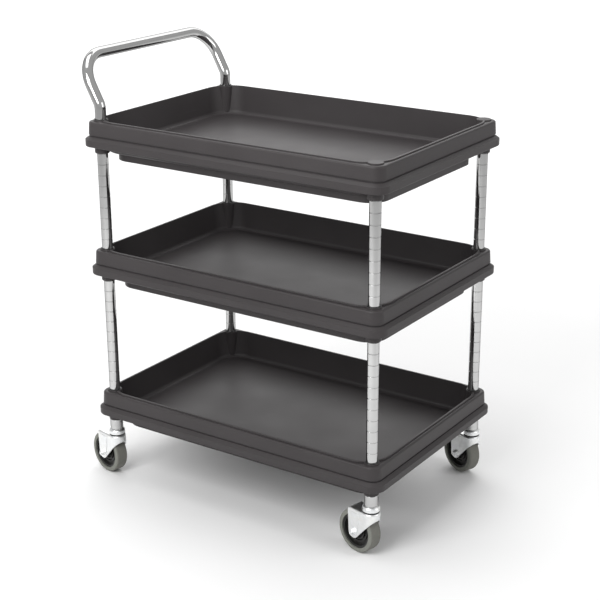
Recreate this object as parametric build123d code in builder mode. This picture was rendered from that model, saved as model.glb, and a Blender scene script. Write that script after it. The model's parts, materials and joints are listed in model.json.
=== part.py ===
from build123d import *
import math
import os

# Rolling utility cart: three deep tray shelves on four grooved posts, a bent push
# handle at the rear end, and four swivel stem casters.
# Millimetres. +X points to the front end (away from the handle), +Y to the left side
# of a person pushing it, +Z up. Z = 0 is the floor.

# ------------------------------------------------------------------ driving dimensions
POST_SPAN_X = 724.0
POST_SPAN_Y = 470.0
GROOVE_PITCH = 25.4

BOTTOM_RIM_Z = 226.0
MIDDLE_RIM_Z = BOTTOM_RIM_Z + 14 * GROOVE_PITCH
TOP_RIM_Z = MIDDLE_RIM_Z + 12 * GROOVE_PITCH

# Shelf section. Offsets run outward from the line through the post centres, and
# depths run down from the top of the rim.
BEAD_OUTER = 18.5
BEAD_INNER = 13.5
BEAD_ROUND = 1.8
SHOULDER_DEPTH = 3.0
SHOULDER_ROUND = 5.0
BAND_TOP_OFFSET = 25.5
BAND_FOOT_OFFSET = 27.5
BAND_FOOT_DEPTH = 33.0
GROOVE_OFFSET = 24.5
GROOVE_FOOT_DEPTH = 37.0
BEVEL_TOP_OFFSET = 27.0
BEVEL_FOOT_DEPTH = 43.5
BUMPER_OFFSET = 36.0
BUMPER_DEPTH = 59.5
BUMPER_ROUND = 2.5
CORNER_INSET = 3.0
SKIN = 4.0

TRAY_DEPTH = 70.0
TRAY_FLOOR_OFFSET = 6.0
TRAY_CORNER_R = 60.0
TRAY_FLOOR_ROUND = 10.0

SKIRT_DEPTH = 95.8
SKIRT_OFFSET_X = -7.0
SKIRT_OFFSET_Y = -19.0
SKIRT_CORNER_R = 45.0
RIB_THICK = 3.0
RIB_DEPTH = 90.0
RIB_COUNT_X = 8
RIB_COUNT_Y = 5

COLLAR_R = 17.0
COLLAR_DEPTH = 77.5
COLLAR_ROUND = 3.0
COLLAR_MOUTH_R = 14.9
COLLAR_FOOT_R = 15.4
COLLAR_ROOF = 7.0

# Posts and the split sleeves that lock each shelf to a groove.
POST_R = 12.7
POST_WALL = 1.65
POST_GROOVE_WIDTH = 2.2
POST_GROOVE_FLOOR = 1.2
POST_GROOVE_DEPTH = 0.6
FIRST_GROOVE_ABOVE_RIM = 23.6
GROOVES_BELOW_RIM = 3
POST_TOP_GAP = 12.0
SLEEVE_GAP = 0.06
SLEEVE_DEPTH = 71.0
SLEEVE_LIP = 1.5
SLEEVE_SLIT = 0.8
SLEEVE_RIB_HEIGHT = 1.0
SLEEVE_RIB_REACH = 0.45

# Push handle.
HANDLE_BEND_RISE = 31.5
HANDLE_BAR_RISE = 136.0
HANDLE_BAR_BACK = 57.0
HANDLE_LOW_BEND_R = 30.0
HANDLE_TOP_BEND_R = 70.0
PLUG_LENGTH = 63.0
PLUG_DEPTH_IN_POST = 45.0
PLUG_WALL = 2.0
EDGE_BREAK = 1.0
CAP_PLUG_HEIGHT = 14.0

# Casters. The swivel angle is where the wheel trails, measured from +X.
WHEEL_R = 50.8
TREAD_HALF_WIDTH = 15.5
TYRE_THICK = 10.4
TYRE_EDGE_ROUND = 4.5
TRAIL = 33.5
SWIVEL_ANGLES = {
    "front_right": 167.0,
    "front_left": 158.0,
    "rear_right": 167.0,
    "rear_left": 163.0,
}
FORK_SHEET = 2.8
FORK_INSIDE = 18.5
FORK_FRONT_R = 20.8
FORK_ROUND = 5.0
FORK_PAD_R = 14.0
FORK_PAD_BORDER = 2.0
FORK_EDGE_DROP = 6.0
LEG_EDGE_SHARE = 0.72
CROWN_TOP_Z = 107.3
FORK_SKIRT_Z = 91.0
LEG_RIB = 1.1
LEG_RIB_FRONT = 14.0

STEM_R = 5.5
STEM_TOP_RISE = 46.0
SOCKET_LENGTH = 54.0
KING_PIN_R = 5.0
KING_HEAD_R = 9.0
KING_HEAD_HEIGHT = 4.5
RUNNING_GAP = 0.05
BODY_GAP = 0.4
RACE_R = 19.6
RACE_TOP_Z = 123.0
RACE_FOOT_Z = 111.0
RACE_SKIN = 2.4
RACE_SHOULDER_DROP = 4.5
RACE_SHOULDER_IN = 4.2
RACE_KNEE_DROP = 2.0
RACE_KNEE_IN = 1.5
SEAL_EDGE_IN = 0.6
SEAL_WIDTH = 3.3
BALL_R = 2.3
BALL_RING_R = 12.5
BALL_COUNT = 14
SPACER_R = 15.4

AXLE_R = 4.0
AXLE_SLEEVE_R = 6.0
BUSH_R = 8.0
BUSH_FLANGE_R = 11.0
BUSH_FLANGE = 1.0
HUB_R = 14.0
HUB_HALF_WIDTH = 16.9
WEB_HALF_WIDTH = 3.2
RIM_HALF_WIDTH = 12.0
RIM_THICK = 5.0
WEB_RING_THICK = 2.4
WEB_RINGS = ((19.5, 8.5), (26.5, 7.0))
HEX_ACROSS_FLATS = 12.7
HEX_HEIGHT = 5.2
THREAD_SHOWING = 2.0

FINE = 0.01

# ------------------------------------------------------------------ derived places
CORNERS = {
    "front_right": (1, -1),
    "front_left": (1, 1),
    "rear_right": (-1, -1),
    "rear_left": (-1, 1),
}
# The posts that stop under the top shelf and end in a cap. The handle closes the others.
CAPPED_CORNERS = ("front_right", "front_left")


def trail_direction(corner):
    """Unit vector from the swivel axis towards the wheel."""
    angle = math.radians(SWIVEL_ANGLES[corner])
    return Vector(math.cos(angle), math.sin(angle), 0)


def wheel_reach(along, across):
    """How far a wheel reaches past its post, from its turn's two direction shares."""
    rounded = TYRE_EDGE_ROUND
    tread = (WHEEL_R - rounded) * along + (TREAD_HALF_WIDTH - rounded) * across + rounded
    return TRAIL * along + tread


def wheel_reach_x(corner):
    along = trail_direction(corner)
    return wheel_reach(abs(along.X), abs(along.Y))


def wheel_reach_y(corner):
    along = trail_direction(corner)
    return wheel_reach(abs(along.Y), abs(along.X))


# The wheels trail to the rear and to the left, past the bumpers there. The origin is
# under the middle of the whole cart, so the posts stand off-centre by half of that.
REAR_REACH = max(wheel_reach_x("rear_right"), wheel_reach_x("rear_left"))
LEFT_REACH = max(wheel_reach_y("front_left"), wheel_reach_y("rear_left"))
CENTRE_X = (REAR_REACH - BUMPER_OFFSET) / 2
CENTRE_Y = (BUMPER_OFFSET - LEFT_REACH) / 2

POST_XY = {
    name: (CENTRE_X + sx * POST_SPAN_X / 2, CENTRE_Y + sy * POST_SPAN_Y / 2)
    for name, (sx, sy) in CORNERS.items()
}
POST_FOOT_Z = BOTTOM_RIM_Z - COLLAR_DEPTH
POST_TOP_Z = TOP_RIM_Z - POST_TOP_GAP
POST_BORE_R = POST_R - POST_WALL
LOWEST_GROOVE_Z = BOTTOM_RIM_Z + FIRST_GROOVE_ABOVE_RIM - GROOVES_BELOW_RIM * GROOVE_PITCH


def level(z):
    """Horizontal plane at height z, centred between the four posts."""
    return Plane(origin=(CENTRE_X, CENTRE_Y, z))


def post_plane(corner, z):
    x, y = POST_XY[corner]
    return Plane(origin=(x, y, z))


def post_section_plane(corner):
    """Vertical plane through a post's axis: local x is radial, local y is height."""
    x, y = POST_XY[corner]
    return Plane(origin=(x, y, 0), x_dir=(1, 0, 0), z_dir=(0, -1, 0))


def post_axis(corner):
    x, y = POST_XY[corner]
    return Axis((x, y, 0), (0, 0, 1))


def rim_size(offset_x, offset_y=None):
    """Length and width of a rectangle that stands this far outside the posts."""
    offset_y = offset_x if offset_y is None else offset_y
    return POST_SPAN_X + 2 * offset_x, POST_SPAN_Y + 2 * offset_y


def finish(part, name):
    part.label = name
    export_step(part, "parts/" + name + ".step")
    print(name, round(part.volume / 1000, 1), "cm3", len(part.solids()), "solids")


os.makedirs("parts", exist_ok=True)


# ------------------------------------------------------------------ shelves
def band_outline(offset):
    RectangleRounded(*rim_size(offset), offset - CORNER_INSET)


def make_tray_space(rim_z):
    """The open space inside a tray, with its floor edge rounded."""
    floor_z = rim_z - TRAY_DEPTH
    with BuildPart() as tray_space:
        with BuildSketch(level(floor_z)):
            RectangleRounded(*rim_size(TRAY_FLOOR_OFFSET), TRAY_CORNER_R)
        with BuildSketch(level(rim_z + FINE)):
            RectangleRounded(*rim_size(BEAD_INNER), TRAY_CORNER_R)
        loft(ruled=True)
        floor_edges = tray_space.faces().sort_by(Axis.Z)[0].edges()
        fillet(floor_edges, TRAY_FLOOR_ROUND)
    return tray_space.part


def make_outer_band(rim_z):
    """Rim shoulder, upper band, shadow groove, bevel and bumper, as one solid block."""
    with BuildPart() as band:
        with BuildSketch(level(rim_z - BAND_FOOT_DEPTH)):
            band_outline(BAND_FOOT_OFFSET)
        with BuildSketch(level(rim_z - SHOULDER_DEPTH)):
            band_outline(BAND_TOP_OFFSET)
        loft(ruled=True)
        shoulder_edges = band.faces().sort_by(Axis.Z)[-1].edges()
        fillet(shoulder_edges, SHOULDER_ROUND)
        with BuildSketch(level(rim_z - GROOVE_FOOT_DEPTH)):
            band_outline(GROOVE_OFFSET)
        extrude(amount=GROOVE_FOOT_DEPTH - BAND_FOOT_DEPTH)
    with BuildPart() as bumper:
        with BuildSketch(level(rim_z - BUMPER_DEPTH)):
            band_outline(BUMPER_OFFSET)
        extrude(amount=BUMPER_DEPTH - BEVEL_FOOT_DEPTH)
        bumper_edges = bumper.faces().sort_by(Axis.Z)[0].edges()
        fillet(bumper_edges, BUMPER_ROUND)
        with BuildSketch(level(rim_z - BEVEL_FOOT_DEPTH)):
            band_outline(BUMPER_OFFSET)
        with BuildSketch(level(rim_z - GROOVE_FOOT_DEPTH)):
            band_outline(BEVEL_TOP_OFFSET)
        loft(ruled=True)
    return band.part, bumper.part


def make_band_hollow(rim_z):
    """The space behind the outer band, open below."""
    roof_z = rim_z - SHOULDER_DEPTH - SKIN
    slope_top_z = rim_z - GROOVE_FOOT_DEPTH - SKIN
    slope_foot_z = rim_z - BEVEL_FOOT_DEPTH - SKIN
    with BuildPart() as hollow:
        with BuildSketch(level(slope_top_z)):
            band_outline(GROOVE_OFFSET - SKIN)
        extrude(amount=roof_z - slope_top_z)
        with BuildSketch(level(slope_foot_z)):
            band_outline(BUMPER_OFFSET - SKIN)
        with BuildSketch(level(slope_top_z)):
            band_outline(GROOVE_OFFSET - SKIN)
        loft(ruled=True)
        with BuildSketch(level(rim_z - BUMPER_DEPTH - FINE)):
            band_outline(BUMPER_OFFSET - SKIN)
        extrude(amount=slope_foot_z - rim_z + BUMPER_DEPTH + FINE)
    return hollow.part


def make_underframe(rim_z):
    """Skirt and crossing ribs that stiffen the tray floor from below."""
    foot_z = rim_z - SKIRT_DEPTH
    rib_z = rim_z - RIB_DEPTH
    floor_z = rim_z - TRAY_DEPTH - SKIN / 2
    length, width = rim_size(SKIRT_OFFSET_X, SKIRT_OFFSET_Y)
    inner_length = length - 2 * SKIN
    inner_width = width - 2 * SKIN
    pitch_x = inner_length / (RIB_COUNT_X + 1)
    pitch_y = inner_width / (RIB_COUNT_Y + 1)
    with BuildPart() as underframe:
        with BuildSketch(level(foot_z)):
            RectangleRounded(length, width, SKIRT_CORNER_R)
            RectangleRounded(inner_length, inner_width, SKIRT_CORNER_R - SKIN, mode=Mode.SUBTRACT)
        extrude(amount=floor_z - foot_z)
        with BuildSketch(level(rib_z)):
            with GridLocations(pitch_x, 0, RIB_COUNT_X, 1):
                Rectangle(RIB_THICK, inner_width + SKIN)
            with GridLocations(0, pitch_y, 1, RIB_COUNT_Y):
                Rectangle(inner_length + SKIN, RIB_THICK)
        extrude(amount=floor_z - rib_z)
    return underframe.part


def make_collars(rim_z):
    """A collar round each post, with its foot edge rounded."""
    with BuildPart(level(rim_z - COLLAR_DEPTH)) as collars:
        with GridLocations(POST_SPAN_X, POST_SPAN_Y, 2, 2):
            Cylinder(COLLAR_R, COLLAR_DEPTH, align=(Align.CENTER, Align.CENTER, Align.MIN))
        foot_edges = collars.edges().group_by(Axis.Z)[0]
        fillet(foot_edges, COLLAR_ROUND)
        top_edges = collars.edges().group_by(Axis.Z)[-1]
        fillet(top_edges, BEAD_ROUND)
    return collars.part


def make_collar_bore(corner, rim_z, closed):
    """Tapered bore for the split sleeve. A closed corner keeps a roof over the post."""
    roof = COLLAR_ROOF if closed else -FINE
    with BuildPart() as bore:
        with BuildSketch(post_plane(corner, rim_z - COLLAR_DEPTH - FINE)):
            Circle(COLLAR_FOOT_R)
        with BuildSketch(post_plane(corner, rim_z - roof)):
            Circle(COLLAR_MOUTH_R)
        loft()
    return bore.part


def make_shelf(name, rim_z, closed_corners=()):
    band, bumper = make_outer_band(rim_z)
    hollow = make_band_hollow(rim_z)
    underframe = make_underframe(rim_z)
    collars = make_collars(rim_z)
    tray_space = make_tray_space(rim_z)
    tub_foot_offset = TRAY_FLOOR_OFFSET + SKIN
    with BuildPart() as tub:
        with BuildSketch(level(rim_z - TRAY_DEPTH - SKIN)):
            RectangleRounded(*rim_size(tub_foot_offset), TRAY_CORNER_R + SKIN)
        with BuildSketch(level(rim_z)):
            RectangleRounded(*rim_size(BEAD_OUTER), TRAY_CORNER_R + SKIN)
        loft(ruled=True)
        fillet(tub.faces().sort_by(Axis.Z)[-1].edges(), BEAD_ROUND)
        fillet(tub.faces().sort_by(Axis.Z)[0].edges(), TRAY_FLOOR_ROUND)
    with BuildPart() as shelf:
        add(band)
        add(bumper)
        add(hollow, mode=Mode.SUBTRACT)
        add(tub.part)
        add(underframe)
        add(tray_space, mode=Mode.SUBTRACT)
        add(collars)
        for corner in CORNERS:
            closed = corner in closed_corners
            add(make_collar_bore(corner, rim_z, closed), mode=Mode.SUBTRACT)
    finish(shelf.part, name)


make_shelf("bottom_shelf", BOTTOM_RIM_Z)
make_shelf("middle_shelf", MIDDLE_RIM_Z)
make_shelf("top_shelf", TOP_RIM_Z, closed_corners=CAPPED_CORNERS)


# ------------------------------------------------------------------ posts
def make_post(corner):
    """Chrome tube with a rolled groove every 25.4 mm."""
    height = POST_TOP_Z - POST_FOOT_Z
    groove_count = int((POST_TOP_Z - LOWEST_GROOVE_Z) // GROOVE_PITCH) + 1
    with BuildPart() as post:
        with BuildSketch(post_section_plane(corner)):
            with Locations((POST_BORE_R, POST_FOOT_Z)):
                Rectangle(POST_WALL, height, align=(Align.MIN, Align.MIN))
            for step in range(groove_count):
                groove_z = LOWEST_GROOVE_Z + step * GROOVE_PITCH
                with BuildLine():
                    Polyline(
                        (POST_R + FINE, groove_z - POST_GROOVE_WIDTH / 2),
                        (POST_R - POST_GROOVE_DEPTH, groove_z - POST_GROOVE_FLOOR / 2),
                        (POST_R - POST_GROOVE_DEPTH, groove_z + POST_GROOVE_FLOOR / 2),
                        (POST_R + FINE, groove_z + POST_GROOVE_WIDTH / 2),
                        close=True,
                    )
                make_face(mode=Mode.SUBTRACT)
        revolve(axis=post_axis(corner))
    finish(post.part, "post_" + corner)


for corner in CORNERS:
    make_post(corner)


# ------------------------------------------------------------------ split sleeves
def sleeve_outer_r(depth):
    """Sleeve radius at a depth below the rim, following the collar's tapered bore."""
    share = depth / COLLAR_DEPTH
    return COLLAR_MOUTH_R + share * (COLLAR_FOOT_R - COLLAR_MOUTH_R) - SLEEVE_GAP


def make_sleeves(corner):
    """Tapered two-part sleeves on one post, one for each shelf, ribbed to sit in a groove."""
    bore_r = POST_R + SLEEVE_GAP
    rib_r = POST_R - SLEEVE_RIB_REACH
    with BuildPart() as sleeves:
        for rim_z in (BOTTOM_RIM_Z, MIDDLE_RIM_Z, TOP_RIM_Z):
            closed = rim_z == TOP_RIM_Z and corner in CAPPED_CORNERS
            rib_z = rim_z + FIRST_GROOVE_ABOVE_RIM - 2 * GROOVE_PITCH
            foot_z = rim_z - SLEEVE_DEPTH
            top_depth = COLLAR_ROOF + POST_TOP_GAP if closed else -SLEEVE_LIP
            top_z = rim_z - top_depth
            with BuildSketch(post_section_plane(corner)):
                with BuildLine():
                    Polyline(
                        (bore_r, foot_z),
                        (sleeve_outer_r(SLEEVE_DEPTH), foot_z),
                        (sleeve_outer_r(top_depth), top_z),
                        (bore_r, top_z),
                        close=True,
                    )
                make_face()
                with Locations((rib_r, rib_z)):
                    Rectangle(bore_r - rib_r + FINE, SLEEVE_RIB_HEIGHT, align=(Align.MIN, Align.CENTER))
            revolve(axis=post_axis(corner))
            with BuildSketch(post_plane(corner, foot_z)):
                Rectangle(2 * COLLAR_R, SLEEVE_SLIT)
            extrude(amount=top_z - foot_z, mode=Mode.SUBTRACT)
    finish(sleeves.part, "post_sleeves_" + corner)


for corner in CORNERS:
    make_sleeves(corner)


# ------------------------------------------------------------------ push handle
def make_handle():
    rear_x, left_y = POST_XY["rear_left"]
    right_y = POST_XY["rear_right"][1]
    bar_x = rear_x - HANDLE_BAR_BACK
    bend_z = TOP_RIM_Z + HANDLE_BEND_RISE
    bar_z = TOP_RIM_Z + HANDLE_BAR_RISE
    radii = [HANDLE_LOW_BEND_R, HANDLE_TOP_BEND_R, HANDLE_TOP_BEND_R, HANDLE_LOW_BEND_R]
    with BuildPart() as handle:
        with BuildLine() as tube_path:
            FilletPolyline(
                (rear_x, right_y, POST_TOP_Z),
                (rear_x, right_y, bend_z),
                (bar_x, right_y, bar_z),
                (bar_x, left_y, bar_z),
                (rear_x, left_y, bend_z),
                (rear_x, left_y, POST_TOP_Z),
                radius=radii,
            )
        with BuildSketch(Plane(origin=(rear_x, right_y, POST_TOP_Z))):
            Circle(POST_R)
            Circle(POST_BORE_R, mode=Mode.SUBTRACT)
        sweep(path=tube_path.wires()[0])
    finish(handle.part, "push_handle")


def make_handle_plugs():
    """Steel tube plugs that join each handle leg to the post below it."""
    with BuildPart() as plugs:
        for corner in ("rear_right", "rear_left"):
            with BuildSketch(post_plane(corner, POST_TOP_Z - PLUG_DEPTH_IN_POST)):
                Circle(POST_BORE_R - SLEEVE_GAP)
                Circle(POST_BORE_R - SLEEVE_GAP - PLUG_WALL, mode=Mode.SUBTRACT)
            extrude(amount=PLUG_LENGTH)
    finish(plugs.part, "handle_plugs")


def make_post_caps():
    """Plastic caps that close the tops of the two front posts."""
    cap_height = POST_TOP_GAP - COLLAR_ROOF - SLEEVE_GAP
    with BuildPart() as caps:
        for corner in CAPPED_CORNERS:
            with BuildSketch(post_plane(corner, POST_TOP_Z)):
                Circle(POST_R)
            extrude(amount=cap_height)
            with BuildSketch(post_plane(corner, POST_TOP_Z - CAP_PLUG_HEIGHT)):
                Circle(POST_BORE_R - SLEEVE_GAP)
            extrude(amount=CAP_PLUG_HEIGHT)
    finish(caps.part, "post_caps")


make_handle()
make_handle_plugs()
make_post_caps()


# ------------------------------------------------------------------ casters
def swivel_plane(corner, z):
    """Horizontal plane on a swivel axis, with local x along the trail."""
    x, y = POST_XY[corner]
    return Plane(origin=(x, y, z), x_dir=tuple(trail_direction(corner)), z_dir=(0, 0, 1))


def axle_direction(corner):
    along = trail_direction(corner)
    return Vector(-along.Y, along.X, 0)


def fork_side_plane(corner, across=0.0):
    """Vertical plane along the trail: local x is the trail, local y is height."""
    x, y = POST_XY[corner]
    along = trail_direction(corner)
    origin = Vector(x, y, 0) + axle_direction(corner) * across
    return Plane(origin=tuple(origin), x_dir=tuple(along), z_dir=(along.Y, -along.X, 0))


def axle_centre(corner):
    x, y = POST_XY[corner]
    return Vector(x, y, WHEEL_R) + trail_direction(corner) * TRAIL


def axle_section_plane(corner):
    """Plane through the axle: local x runs along the axle, local y is radial."""
    return Plane(
        origin=tuple(axle_centre(corner)),
        x_dir=tuple(axle_direction(corner)),
        z_dir=tuple(trail_direction(corner)),
    )


def axle_axis(corner):
    return Axis(tuple(axle_centre(corner)), tuple(axle_direction(corner)))


def axle_end_plane(corner, across):
    """Plane square to the axle, this far along it from the wheel's middle."""
    origin = axle_centre(corner) + axle_direction(corner) * across
    return Plane(origin=tuple(origin), x_dir=(0, 0, 1), z_dir=tuple(axle_direction(corner)))


def make_stem_sockets():
    """Steel sockets in the foot of each post, which hold the caster stems."""
    with BuildPart() as sockets:
        for corner in CORNERS:
            with BuildSketch(post_plane(corner, POST_FOOT_Z)):
                Circle(POST_BORE_R - SLEEVE_GAP)
                Circle(STEM_R + SLEEVE_GAP, mode=Mode.SUBTRACT)
            extrude(amount=SOCKET_LENGTH)
    finish(sockets.part, "stem_sockets")


def make_stem(corner):
    """Stem, shoulder and king pin, turned as one piece. It doesn't swivel."""
    head_foot_z = CROWN_TOP_Z - FORK_SHEET - BODY_GAP - KING_HEAD_HEIGHT
    head_top_z = head_foot_z + KING_HEAD_HEIGHT
    with BuildPart() as stem:
        with BuildSketch(post_plane(corner, head_foot_z)):
            Circle(KING_HEAD_R)
        extrude(amount=KING_HEAD_HEIGHT)
        head_edges = stem.edges().filter_by(GeomType.CIRCLE).group_by(Axis.Z)[0]
        fillet(head_edges, KING_HEAD_HEIGHT / 2)
        with BuildSketch(post_plane(corner, head_top_z)):
            Circle(KING_PIN_R)
        extrude(amount=RACE_TOP_Z - head_top_z)
        with BuildSketch(post_plane(corner, RACE_TOP_Z)):
            Circle(STEM_R)
        extrude(amount=POST_FOOT_Z + STEM_TOP_RISE - RACE_TOP_Z)
        chamfer(stem.edges().group_by(Axis.Z)[-1], EDGE_BREAK)
    finish(stem.part, "caster_stem_" + corner)


def make_spacers():
    """Bright collars between each post's foot and its caster."""
    foot_z = RACE_TOP_Z
    with BuildPart() as spacers:
        for corner in CORNERS:
            with BuildSketch(post_plane(corner, foot_z)):
                Circle(SPACER_R)
            extrude(amount=POST_FOOT_Z - foot_z)
        rim_edges = spacers.edges().filter_by(GeomType.CIRCLE)
        fillet(rim_edges, EDGE_BREAK)
        for corner in CORNERS:
            with BuildSketch(post_plane(corner, foot_z)):
                Circle(STEM_R + SLEEVE_GAP)
            extrude(amount=POST_FOOT_Z - foot_z, mode=Mode.SUBTRACT)
    finish(spacers.part, "stem_collars")


def make_upper_race(corner):
    """Pressed cup over the ball ring, clamped under the collar."""
    roof_z = CROWN_TOP_Z + 2 * BALL_R + BODY_GAP
    skirt_r = RACE_R - RACE_SKIN
    with BuildPart() as race:
        with BuildSketch(post_section_plane(corner)):
            with BuildLine():
                Polyline(
                    (KING_PIN_R, RACE_TOP_Z),
                    (KING_PIN_R, roof_z),
                    (skirt_r, roof_z),
                    (skirt_r, RACE_FOOT_Z),
                    (RACE_R, RACE_FOOT_Z),
                    (RACE_R, RACE_TOP_Z - RACE_SHOULDER_DROP),
                    (RACE_R - RACE_KNEE_IN, RACE_TOP_Z - RACE_KNEE_DROP),
                    (RACE_R - RACE_SHOULDER_IN, RACE_TOP_Z),
                    close=True,
                )
            make_face()
        revolve(axis=post_axis(corner))
    finish(race.part, "upper_race_" + corner)


def make_balls(corner):
    ball_z = CROWN_TOP_Z + BALL_R + FINE
    with BuildPart(post_plane(corner, ball_z)) as balls:
        with PolarLocations(BALL_RING_R, BALL_COUNT):
            Sphere(BALL_R)
    finish(balls.part, "swivel_balls_" + corner)


def make_seal(corner):
    """Dark dust seal that lies on the fork's crown under the race."""
    with BuildPart() as seal:
        with BuildSketch(post_plane(corner, CROWN_TOP_Z)):
            Circle(RACE_R - SEAL_EDGE_IN)
            Circle(RACE_R - SEAL_EDGE_IN - SEAL_WIDTH, mode=Mode.SUBTRACT)
        extrude(amount=RACE_FOOT_Z - CROWN_TOP_Z - BODY_GAP)
    finish(seal.part, "swivel_seal_" + corner)


def fork_outline(inset):
    """Crown outline: round in front, straight sides over the wheel, open behind."""
    half_width = FORK_INSIDE + FORK_SHEET - inset
    side_start = TRAIL / 2
    side_end = TRAIL + FORK_PAD_R + FORK_SHEET + inset
    Circle(FORK_FRONT_R - inset)
    with Locations((side_start, 0)):
        Rectangle(side_end - side_start, 2 * half_width, align=(Align.MIN, Align.CENTER))
    make_hull()


def make_fork(corner):
    """Pressed fork: a crown with a short front skirt and two tapering legs."""
    crown_foot_z = CROWN_TOP_Z - FORK_SHEET
    pad_foot_z = WHEEL_R - FORK_PAD_R
    leg_back = TRAIL + FORK_PAD_R + FORK_SHEET
    # The leg's front edge meets its round axle pad on the pad's own circle.
    edge_in = FORK_PAD_R * LEG_EDGE_SHARE
    edge_down = math.sqrt(FORK_PAD_R ** 2 - edge_in ** 2)
    with BuildPart() as fork:
        with BuildSketch(swivel_plane(corner, pad_foot_z)):
            fork_outline(0.0)
        extrude(amount=CROWN_TOP_Z - pad_foot_z)
        fillet(fork.faces().sort_by(Axis.Z)[-1].edges(), FORK_ROUND)
        with BuildSketch(swivel_plane(corner, pad_foot_z)):
            fork_outline(FORK_SHEET)
        extrude(amount=crown_foot_z - pad_foot_z, mode=Mode.SUBTRACT)
        with BuildSketch(fork_side_plane(corner)):
            with Locations((TRAIL, WHEEL_R)):
                Circle(FORK_PAD_R)
            with BuildLine():
                Polyline(
                    (-FORK_FRONT_R, FORK_SKIRT_Z),
                    (-FORK_FRONT_R, CROWN_TOP_Z),
                    (leg_back, CROWN_TOP_Z),
                    (leg_back, crown_foot_z - FORK_ROUND),
                    (TRAIL + FORK_PAD_R, WHEEL_R),
                    (TRAIL - edge_in, WHEEL_R - edge_down),
                    (-FORK_FRONT_R * LEG_EDGE_SHARE, FORK_SKIRT_Z - FORK_EDGE_DROP),
                    close=True,
                )
            make_face()
        extrude(amount=2 * FORK_FRONT_R, both=True, mode=Mode.INTERSECT)
        with BuildSketch(swivel_plane(corner, crown_foot_z)):
            Circle(KING_PIN_R + RUNNING_GAP)
        extrude(amount=FORK_SHEET, mode=Mode.SUBTRACT)
        for side in (-1, 1):
            with BuildSketch(fork_side_plane(corner, side * (FORK_INSIDE + FORK_SHEET))):
                with Locations((TRAIL, WHEEL_R)):
                    Circle(FORK_PAD_R - FORK_PAD_BORDER)
                with BuildLine():
                    Polyline(
                        (LEG_RIB_FRONT, crown_foot_z - FORK_ROUND),
                        (leg_back - FORK_ROUND, crown_foot_z - FORK_ROUND),
                        (TRAIL + FORK_PAD_R - FORK_PAD_BORDER, WHEEL_R),
                        (TRAIL - FORK_PAD_R + FORK_PAD_BORDER, WHEEL_R),
                        close=True,
                    )
                make_face()
            extrude(amount=-side * LEG_RIB)
        with BuildSketch(fork_side_plane(corner)):
            with Locations((TRAIL, WHEEL_R)):
                Circle(AXLE_R + RUNNING_GAP)
        extrude(amount=2 * FORK_FRONT_R, both=True, mode=Mode.SUBTRACT)
    finish(fork.part, "fork_" + corner)


def make_axle_bolt(corner):
    """Hexagon-head bolt through both fork legs."""
    outside = FORK_INSIDE + FORK_SHEET + LEG_RIB
    thread_end = outside + HEX_HEIGHT + THREAD_SHOWING
    with BuildPart() as bolt:
        with BuildSketch(axle_end_plane(corner, -outside)):
            Circle(AXLE_R)
        extrude(amount=outside + thread_end)
        with BuildSketch(axle_end_plane(corner, -outside)):
            RegularPolygon(HEX_ACROSS_FLATS / 2, 6, major_radius=False)
        extrude(amount=-HEX_HEIGHT)
    finish(bolt.part, "axle_bolt_" + corner)


def make_axle_nut(corner):
    outside = FORK_INSIDE + FORK_SHEET + LEG_RIB
    with BuildPart() as nut:
        with BuildSketch(axle_end_plane(corner, outside)):
            RegularPolygon(HEX_ACROSS_FLATS / 2, 6, major_radius=False)
            Circle(AXLE_R + RUNNING_GAP, mode=Mode.SUBTRACT)
        extrude(amount=HEX_HEIGHT)
    finish(nut.part, "axle_nut_" + corner)


def make_axle_sleeve(corner):
    """Hardened tube, clamped between the fork's legs, that the wheel turns on."""
    with BuildPart() as sleeve:
        with BuildSketch(axle_end_plane(corner, -FORK_INSIDE + RUNNING_GAP)):
            Circle(AXLE_SLEEVE_R)
            Circle(AXLE_R + RUNNING_GAP, mode=Mode.SUBTRACT)
        extrude(amount=2 * (FORK_INSIDE - RUNNING_GAP))
    finish(sleeve.part, "axle_sleeve_" + corner)


def make_bushes(corner):
    """Two flanged plastic bushes, one pressed into each side of the wheel."""
    length = HUB_HALF_WIDTH - BUSH_FLANGE
    with BuildPart() as bushes:
        for side in (-1, 1):
            with BuildSketch(axle_end_plane(corner, side * (HUB_HALF_WIDTH - length))):
                Circle(BUSH_R - FINE)
                Circle(AXLE_SLEEVE_R + RUNNING_GAP, mode=Mode.SUBTRACT)
            extrude(amount=side * length)
            with BuildSketch(axle_end_plane(corner, side * HUB_HALF_WIDTH)):
                Circle(BUSH_FLANGE_R)
                Circle(AXLE_SLEEVE_R + RUNNING_GAP, mode=Mode.SUBTRACT)
            extrude(amount=side * BUSH_FLANGE)
    finish(bushes.part, "wheel_bushes_" + corner)


def make_wheel_core(corner):
    """Moulded hub, dished web with raised rings, and rim."""
    rim_r = WHEEL_R - TYRE_THICK
    rim_foot_r = rim_r - RIM_THICK
    with BuildPart() as core:
        with BuildSketch(axle_section_plane(corner)):
            with Locations((0, (BUSH_R + HUB_R) / 2)):
                Rectangle(2 * HUB_HALF_WIDTH, HUB_R - BUSH_R)
            with Locations((0, (BUSH_R + rim_r) / 2)):
                Rectangle(2 * WEB_HALF_WIDTH, rim_r - BUSH_R)
            with Locations((0, (rim_foot_r + rim_r) / 2)):
                Rectangle(2 * RIM_HALF_WIDTH, rim_r - rim_foot_r)
            for ring_r, ring_half in WEB_RINGS:
                with Locations((0, ring_r)):
                    Rectangle(2 * ring_half, WEB_RING_THICK)
        revolve(axis=axle_axis(corner))
    finish(core.part, "wheel_core_" + corner)


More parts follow.
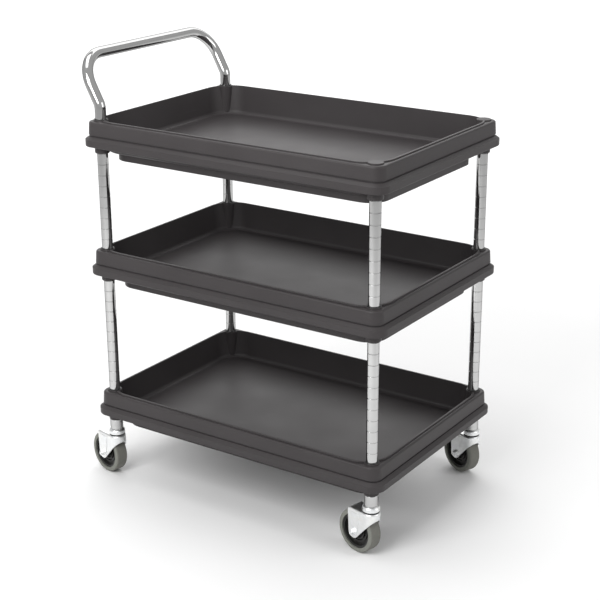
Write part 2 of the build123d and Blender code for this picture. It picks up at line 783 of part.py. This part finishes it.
def make_tyre(corner):
    """Bonded grey tread with rounded shoulders."""
    core_r = WHEEL_R - TYRE_THICK
    with BuildPart() as tyre:
        with BuildSketch(axle_section_plane(corner)) as section:
            with Locations((0, (core_r + WHEEL_R) / 2)):
                Rectangle(2 * TREAD_HALF_WIDTH, TYRE_THICK)
            fillet(section.vertices().group_by(Axis.Y)[-1], TYRE_EDGE_ROUND)
        revolve(axis=axle_axis(corner))
    finish(tyre.part, "tyre_" + corner)


make_stem_sockets()
make_spacers()
for corner in CORNERS:
    make_stem(corner)
    make_upper_race(corner)
    make_balls(corner)
    make_seal(corner)
    make_fork(corner)
    make_axle_bolt(corner)
    make_axle_nut(corner)
    make_axle_sleeve(corner)
    make_bushes(corner)
    make_wheel_core(corner)
    make_tyre(corner)
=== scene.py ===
import json
import math

import bpy
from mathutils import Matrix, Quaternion, Vector


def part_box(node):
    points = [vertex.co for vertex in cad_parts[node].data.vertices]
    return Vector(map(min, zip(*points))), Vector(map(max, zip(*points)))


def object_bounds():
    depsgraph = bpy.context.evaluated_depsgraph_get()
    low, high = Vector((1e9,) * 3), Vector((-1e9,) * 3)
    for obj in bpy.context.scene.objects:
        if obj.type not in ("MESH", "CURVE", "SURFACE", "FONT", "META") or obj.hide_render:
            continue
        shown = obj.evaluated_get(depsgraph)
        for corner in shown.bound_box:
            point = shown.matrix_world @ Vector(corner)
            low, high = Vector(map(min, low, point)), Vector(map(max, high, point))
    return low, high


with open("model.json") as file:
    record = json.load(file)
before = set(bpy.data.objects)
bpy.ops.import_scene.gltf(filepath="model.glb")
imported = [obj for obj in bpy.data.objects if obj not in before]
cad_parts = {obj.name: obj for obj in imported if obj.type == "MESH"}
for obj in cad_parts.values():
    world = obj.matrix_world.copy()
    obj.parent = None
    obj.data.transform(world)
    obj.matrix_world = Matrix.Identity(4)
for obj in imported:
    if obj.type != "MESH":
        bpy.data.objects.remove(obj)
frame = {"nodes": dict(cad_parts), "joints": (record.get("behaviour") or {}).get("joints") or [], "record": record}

# Looks for a rolling utility cart. Every visible piece is a CAD node, so this script
# gives each one a procedural material and sets the studio round it. Metres.

cad_low, cad_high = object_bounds()

CORNERS = ("front_right", "front_left", "rear_right", "rear_left")
MILLIMETRE = 0.001

# Linear base colours. A surface drifts from the first to the second of its pair.
POLYMER_COLOURS = (0.038, 0.034, 0.035), (0.054, 0.049, 0.050)
POLYMER_SCUFF = (0.066, 0.062, 0.062)
CHROME_COLOURS = (0.50, 0.50, 0.50), (0.60, 0.60, 0.595)
CHROME_EDGE_TINT = (0.3, 0.3, 0.3, 1.0)
ZINC_COLOURS = (0.80, 0.83, 0.87), (0.90, 0.89, 0.84)
ZINC_BLOOM = (0.93, 0.94, 0.95)
TREAD_CLEAN = (0.16, 0.165, 0.145), (0.23, 0.235, 0.21)
TREAD_DIRTY = (0.11, 0.108, 0.095), (0.19, 0.185, 0.165)
HUB_COLOURS = (0.018, 0.018, 0.017), (0.055, 0.053, 0.048)
SEAL_COLOURS = (0.014, 0.014, 0.014), (0.034, 0.034, 0.033)

# Noise runs from 0 to 1, but most of its values lie between these.
NOISE_LOW, NOISE_HIGH = 0.3, 0.7


# ------------------------------------------------------------------ shader helpers
class Paint:
    """One material's node tree, with short ways to add the nodes that this scene uses."""

    def __init__(self, name, metallic=0.0, specular=0.5):
        self.material = bpy.data.materials.new(name)
        self.material.use_nodes = True
        self.nodes = self.material.node_tree.nodes
        self.links = self.material.node_tree.links
        self.shader = self.nodes["Principled BSDF"]
        self.shader.inputs["Metallic"].default_value = metallic
        self.shader.inputs["Specular IOR Level"].default_value = specular
        self.place = self.nodes.new("ShaderNodeTexCoord").outputs["Object"]
        self.normal = None

    def stretched(self, scale):
        """Object coordinates multiplied along each axis, for streaks and brushing."""
        mapping = self.nodes.new("ShaderNodeMapping")
        mapping.inputs["Scale"].default_value = scale
        self.links.new(self.place, mapping.inputs["Vector"])
        return mapping.outputs["Vector"]

    def noise(self, size, detail=3.0, rough=0.5, place=None):
        """Noise whose features are about this many metres across."""
        node = self.nodes.new("ShaderNodeTexNoise")
        node.inputs["Scale"].default_value = 1.0 / size
        node.inputs["Detail"].default_value = detail
        node.inputs["Roughness"].default_value = rough
        self.links.new(self.place if place is None else place, node.inputs["Vector"])
        return node.outputs["Fac"]

    def math(self, operation, first, second=0.0):
        node = self.nodes.new("ShaderNodeMath")
        node.operation = operation
        for socket, value in zip(node.inputs, (first, second)):
            if isinstance(value, (int, float)):
                socket.default_value = value
            else:
                self.links.new(value, socket)
        return node.outputs[0]

    def vector(self, operation, first, second=None, output="Vector"):
        node = self.nodes.new("ShaderNodeVectorMath")
        node.operation = operation
        for socket, value in zip(node.inputs, (first, second)):
            if value is None:
                continue
            if isinstance(value, Vector):
                socket.default_value = value
            else:
                self.links.new(value, socket)
        return node.outputs[output]

    def ramp(self, source, low, high, from_value, to_value):
        """Map source from low..high to from_value..to_value, held at both ends."""
        node = self.nodes.new("ShaderNodeMapRange")
        for name, value in (("From Min", low), ("From Max", high)):
            node.inputs[name].default_value = value
        for name, value in (("To Min", from_value), ("To Max", to_value)):
            node.inputs[name].default_value = value
        self.links.new(source, node.inputs["Value"])
        return node.outputs["Result"]

    def patchy(self, source, low, high):
        """Map a noise's usual range to low..high, for an uneven roughness."""
        return self.ramp(source, NOISE_LOW, NOISE_HIGH, low, high)

    def blend(self, share, first, second):
        """Mix two colours. Each is a tuple or another node's colour."""
        node = self.nodes.new("ShaderNodeMix")
        node.data_type = "RGBA"
        self.links.new(share, node.inputs["Factor"])
        for socket, value in ((node.inputs[6], first), (node.inputs[7], second)):
            if isinstance(value, tuple):
                socket.default_value = (*value, 1.0)
            else:
                self.links.new(value, socket)
        return node.outputs[2]

    def bump(self, height, strength, depth):
        """Add a bump on top of those already made. Depth is in metres."""
        node = self.nodes.new("ShaderNodeBump")
        node.inputs["Strength"].default_value = strength
        node.inputs["Distance"].default_value = depth
        self.links.new(height, node.inputs["Height"])
        if self.normal is not None:
            self.links.new(self.normal, node.inputs["Normal"])
        self.normal = node.outputs["Normal"]

    def finish(self, colour, roughness):
        self.links.new(colour, self.shader.inputs["Base Color"])
        self.links.new(roughness, self.shader.inputs["Roughness"])
        if self.normal is not None:
            self.links.new(self.normal, self.shader.inputs["Normal"])
        return self.material


# ------------------------------------------------------------------ materials
def shelf_polymer():
    """Black moulded polymer: leathery grain, slow flow marks and fine pale scuffs."""
    paint = Paint("shelf_polymer", specular=0.24)
    flow = paint.noise(160 * MILLIMETRE, detail=2.0)
    grain = paint.noise(0.9 * MILLIMETRE, detail=2.0)
    pebble = paint.noise(2.6 * MILLIMETRE, detail=1.0)
    flat_streaks = paint.stretched((0.25, 0.25, 5.0))
    scuffs = paint.noise(20 * MILLIMETRE, detail=6.0, rough=0.7, place=flat_streaks)
    scuffed = paint.ramp(scuffs, 0.60, 0.78, 0.0, 0.5)
    colour = paint.blend(scuffed, paint.blend(flow, *POLYMER_COLOURS), POLYMER_SCUFF)
    texture = paint.math("ADD", flow, paint.math("MULTIPLY", pebble, 0.35))
    roughness = paint.ramp(texture, 0.4, 1.0, 0.38, 0.54)
    paint.bump(pebble, 0.20, 0.10 * MILLIMETRE)
    paint.bump(grain, 0.30, 0.05 * MILLIMETRE)
    return paint.finish(colour, roughness)


def smooth_plastic(name, dark, light, rough_low, rough_high):
    """Plain moulded plastic with a fine satin grain."""
    paint = Paint(name, specular=0.5)
    cloud = paint.noise(12 * MILLIMETRE, detail=3.0)
    grain = paint.noise(0.5 * MILLIMETRE, detail=2.0)
    colour = paint.blend(cloud, (dark, dark, dark), (light, light, light))
    paint.bump(grain, 0.20, 0.03 * MILLIMETRE)
    return paint.finish(colour, paint.patchy(cloud, rough_low, rough_high))


def chrome_tube():
    """Bright plate with faint upright draw lines and a few dull handling marks."""
    paint = Paint("chrome_tube", metallic=1.0)
    paint.shader.inputs["Specular Tint"].default_value = CHROME_EDGE_TINT
    upright = paint.stretched((1.0, 1.0, 0.02))
    draw_lines = paint.noise(0.6 * MILLIMETRE, detail=2.0, place=upright)
    haze = paint.noise(30 * MILLIMETRE, detail=4.0, rough=0.6)
    marks = paint.ramp(haze, 0.56, 0.74, 0.0, 1.0)
    colour = paint.blend(haze, *CHROME_COLOURS)
    dulled = paint.math("MULTIPLY", marks, 0.07)
    roughness = paint.math("ADD", paint.patchy(draw_lines, 0.055, 0.095), dulled)
    paint.bump(draw_lines, 0.08, 0.01 * MILLIMETRE)
    return paint.finish(colour, roughness)


def zinc_steel():
    """Bright zinc on pressed steel, with a cool cloudy passivation and press marks."""
    paint = Paint("zinc_steel", metallic=1.0)
    cloud = paint.noise(9 * MILLIMETRE, detail=4.0, rough=0.6)
    tint = paint.noise(26 * MILLIMETRE, detail=2.0)
    press = paint.noise(0.7 * MILLIMETRE, detail=3.0)
    bloom = paint.ramp(cloud, 0.42, 0.62, 0.0, 0.6)
    colour = paint.blend(bloom, paint.blend(tint, *ZINC_COLOURS), ZINC_BLOOM)
    paint.bump(press, 0.16, 0.02 * MILLIMETRE)
    return paint.finish(colour, paint.patchy(cloud, 0.30, 0.46))


def wheel_place(paint, joint):
    """Radius from a wheel's axle and distance along it, as shader values in metres."""
    centre, axle = Vector(joint["pos_m"]), Vector(joint["axis"]).normalized()
    arm = paint.vector("SUBTRACT", paint.place, centre)
    along = paint.vector("DOT_PRODUCT", arm, axle, output="Value")
    length = paint.vector("LENGTH", arm, output="Value")
    length_squared = paint.math("MULTIPLY", length, length)
    along_squared = paint.math("MULTIPLY", along, along)
    square = paint.math("SUBTRACT", length_squared, along_squared)
    return paint.math("SQRT", paint.math("MAXIMUM", square, 0.0)), along


def turned_rings(paint, radius, spacing):
    """A height that rises and falls once in each spacing of radius."""
    return paint.math("SINE", paint.math("MULTIPLY", radius, 2 * math.pi / spacing))


def grey_tread(corner, joint):
    """Grey non-marking rubber: rubbed, slightly dirty tread and moulded side rings."""
    paint = Paint("grey_tread_" + corner, specular=0.35)
    radius = wheel_place(paint, joint)[0]
    low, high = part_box("tyre_" + corner)
    tyre_r = (high.z - low.z) / 2
    speckle = paint.noise(1.2 * MILLIMETRE, detail=3.0)
    dirt = paint.noise(7 * MILLIMETRE, detail=5.0, rough=0.65)
    worn = paint.ramp(radius, tyre_r - 2.0 * MILLIMETRE, tyre_r - 0.3 * MILLIMETRE, 0.0, 1.0)
    clean = paint.blend(speckle, *TREAD_CLEAN)
    dirty = paint.blend(dirt, *TREAD_DIRTY)
    colour = paint.blend(paint.math("MULTIPLY", worn, 0.75), clean, dirty)
    rings = turned_rings(paint, radius, 2.6 * MILLIMETRE)
    side_rings = paint.math("MULTIPLY", rings, paint.math("SUBTRACT", 1.0, worn))
    paint.bump(side_rings, 0.25, 0.08 * MILLIMETRE)
    paint.bump(speckle, 0.35, 0.05 * MILLIMETRE)
    return paint.finish(colour, paint.patchy(dirt, 0.62, 0.82))


def wheel_plastic(corner, joint):
    """Black moulded hub with fine turned rings and a little grey dust in the recesses."""
    paint = Paint("wheel_plastic_" + corner, specular=0.45)
    radius, along = wheel_place(paint, joint)
    grain = paint.noise(0.6 * MILLIMETRE, detail=2.0)
    dust = paint.noise(5 * MILLIMETRE, detail=4.0, rough=0.6)
    deep = paint.ramp(paint.math("ABSOLUTE", along), 4 * MILLIMETRE, 12 * MILLIMETRE, 1.0, 0.0)
    dusty = paint.math("MULTIPLY", paint.ramp(dust, 0.45, 0.7, 0.0, 1.0), deep)
    colour = paint.blend(dusty, *HUB_COLOURS)
    paint.bump(turned_rings(paint, radius, 1.1 * MILLIMETRE), 0.12, 0.03 * MILLIMETRE)
    paint.bump(grain, 0.25, 0.03 * MILLIMETRE)
    return paint.finish(colour, paint.patchy(dust, 0.36, 0.55))


def seal_rubber():
    """Matt black rubber with a light bloom."""
    paint = Paint("seal_rubber", specular=0.3)
    bloom = paint.noise(4 * MILLIMETRE, detail=4.0)
    grain = paint.noise(0.5 * MILLIMETRE, detail=2.0)
    paint.bump(grain, 0.35, 0.03 * MILLIMETRE)
    return paint.finish(paint.blend(bloom, *SEAL_COLOURS), paint.patchy(bloom, 0.6, 0.8))


def material_makers(joints):
    """Material for each slot. A wheel's materials follow its own axle."""
    shared = {
        "shelf_polymer": shelf_polymer(),
        "sleeve_plastic": smooth_plastic("sleeve_plastic", 0.010, 0.018, 0.34, 0.48),
        "bush_plastic": smooth_plastic("bush_plastic", 0.045, 0.070, 0.25, 0.36),
        "chrome_tube": chrome_tube(),
        "zinc_steel": zinc_steel(),
        "seal_rubber": seal_rubber(),
    }
    spins = {joint["name"]: joint for joint in joints}
    by_node = {}
    for corner in CORNERS:
        joint = spins[corner + "_wheel_spin"]
        by_node["tyre_" + corner] = grey_tread(corner, joint)
        by_node["wheel_core_" + corner] = wheel_plastic(corner, joint)
    return shared, by_node


def paint_nodes():
    shared, by_node = material_makers(frame["joints"])
    for row in frame["record"]["subparts"]:
        name = row["node"]
        material = by_node.get(name) or shared[row["material_slot"]]
        for slot in frame["nodes"][name].material_slots:
            slot.material = material


# ------------------------------------------------------------------ studio
FLOOR_SIZE = 80.0
FLOOR_TONE, FLOOR_MOTTLE = 0.86, 0.02
WORLD_STRENGTH = 0.56

# Name, azimuth in degrees, distance, height, power in watts and side of the square.
LIGHTS = (
    ("key", 0, 2.0, 1.9, 38, 1.3),
    ("top", -60, 0.7, 3.1, 18, 1.5),
    ("fill", 100, 2.2, 1.5, 10, 1.1),
)

# The wash shines straight down, behind the object, and whitens the floor there.
WASH_DISTANCE, WASH_HEIGHT, WASH_POWER, WASH_SIZE = 7.0, 4.0, 430, 9.0

# Angles in degrees; lens and sensor in millimetres. The target is measured from the
# middle shelf's centre along X and Y, and from the floor along Z.
CAMERA_AZIMUTH, CAMERA_ELEVATION, CAMERA_ROLL = 34.0, 19.7, -0.28
CAMERA_DISTANCE = 3.329
CAMERA_LENS, CAMERA_SENSOR = 85.2, 36.0
CAMERA_TARGET = (0.022, -0.0036, 0.4585)
CAMERA_CLIP = (0.05, 200.0)


def from_azimuth(azimuth, distance, height):
    """A place round the object. Azimuth 0 is in front of its right side, along -Y."""
    angle = math.radians(azimuth)
    return Vector((distance * math.sin(angle), -distance * math.cos(angle), height))


def add_light(name, place, power, size, target):
    """A square area light turned to the target."""
    light = bpy.data.lights.new(name, "AREA")
    light.energy = power
    light.size = size
    lamp = bpy.data.objects.new(name, light)
    bpy.context.scene.collection.objects.link(lamp)
    lamp.location = place
    direction = target - lamp.location
    lamp.rotation_euler = direction.to_track_quat("-Z", "Y").to_euler()


def make_floor():
    bpy.ops.mesh.primitive_plane_add(size=FLOOR_SIZE, location=(0, 0, 0))
    floor = bpy.context.object
    floor.name = "studio_floor"
    paint = Paint("studio_floor", specular=0.2)
    mottle = paint.noise(500 * MILLIMETRE, detail=2.0)
    colour = paint.blend(mottle, (FLOOR_TONE,) * 3, (FLOOR_TONE + FLOOR_MOTTLE,) * 3)
    floor.data.materials.append(paint.finish(colour, paint.ramp(mottle, 0.0, 1.0, 0.85, 0.9)))


def make_world():
    world = bpy.data.worlds.new("studio")
    world.use_nodes = True
    background = world.node_tree.nodes["Background"]
    background.inputs["Color"].default_value = (1.0, 1.0, 1.0, 1.0)
    background.inputs["Strength"].default_value = WORLD_STRENGTH
    bpy.context.scene.world = world
    bpy.context.scene.view_settings.view_transform = "Standard"


def make_studio():
    make_floor()
    make_world()
    middle = Vector((0, 0, cad_high.z / 2))
    for name, azimuth, distance, height, power, size in LIGHTS:
        add_light(name, from_azimuth(azimuth, distance, height), power, size, middle)
    wash = from_azimuth(CAMERA_AZIMUTH + 180, WASH_DISTANCE, WASH_HEIGHT)
    add_light("wash", wash, WASH_POWER, WASH_SIZE, Vector((wash.x, wash.y, 0)))


def make_camera():
    """Three-quarter view from above the front right corner."""
    azimuth, elevation = math.radians(CAMERA_AZIMUTH), math.radians(CAMERA_ELEVATION)
    roll = math.radians(CAMERA_ROLL)
    shelf_low, shelf_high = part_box("middle_shelf")
    middle = (shelf_low + shelf_high) / 2
    target = Vector((middle.x, middle.y, 0.0)) + Vector(CAMERA_TARGET)
    level_back = Vector((math.sin(azimuth), -math.cos(azimuth), 0.0))
    back = level_back * math.cos(elevation) + Vector((0.0, 0.0, math.sin(elevation)))
    data = bpy.data.cameras.new("camera")
    data.sensor_width = CAMERA_SENSOR
    data.lens = CAMERA_LENS
    camera = bpy.data.objects.new("camera", data)
    bpy.context.scene.collection.objects.link(camera)
    camera.location = target + back * CAMERA_DISTANCE
    camera.rotation_mode = "QUATERNION"
    camera.rotation_quaternion = (-back).to_track_quat("-Z", "Y") @ Quaternion((0, 0, 1), roll)
    data.clip_start, data.clip_end = CAMERA_CLIP
    bpy.context.scene.camera = camera


paint_nodes()
make_studio()
make_camera()
